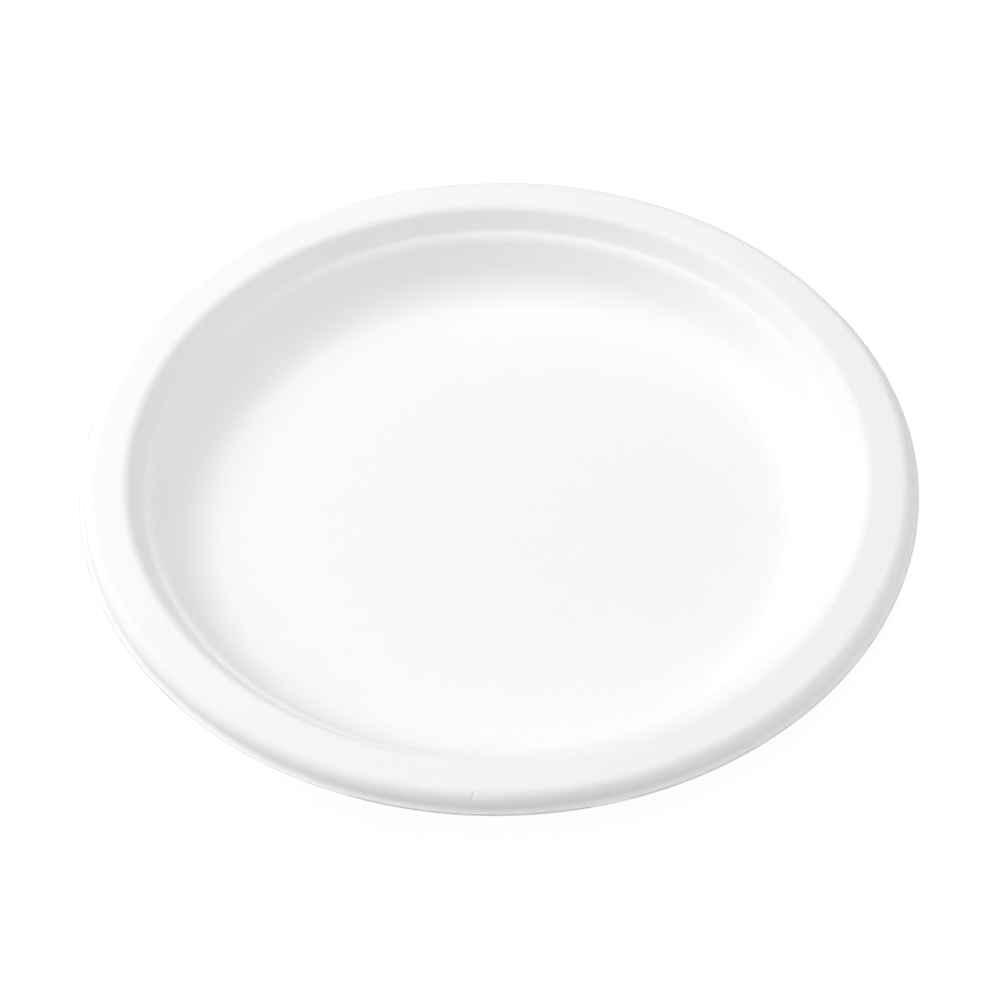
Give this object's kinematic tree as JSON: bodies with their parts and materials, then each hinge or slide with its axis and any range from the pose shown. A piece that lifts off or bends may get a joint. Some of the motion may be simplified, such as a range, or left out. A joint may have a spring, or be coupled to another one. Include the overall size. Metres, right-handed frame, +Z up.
{
  "type": "moulded pulp paper plate",
  "caption": "Round shallow plate of white moulded fibre pulp, with a flat floor, a stacking ledge part way up its wall, and a near-level rim ending in a turned-down lip and thin flange.",
  "frame": {"origin": "centre of the flat underside, on the surface the plate rests on", "axes": "+Z up along the plate's axis; X and Y are alike, and the picture looks along +Y from above"},
  "size_m": [0.225, 0.225, 0.02],
  "materials": {
    "pulp": "matt white moulded fibre, very fine grain, with a trimmed fibrous edge"
  },
  "bodies": {
    "root": {"plate": "pulp"}
  },
  "joints": []
}
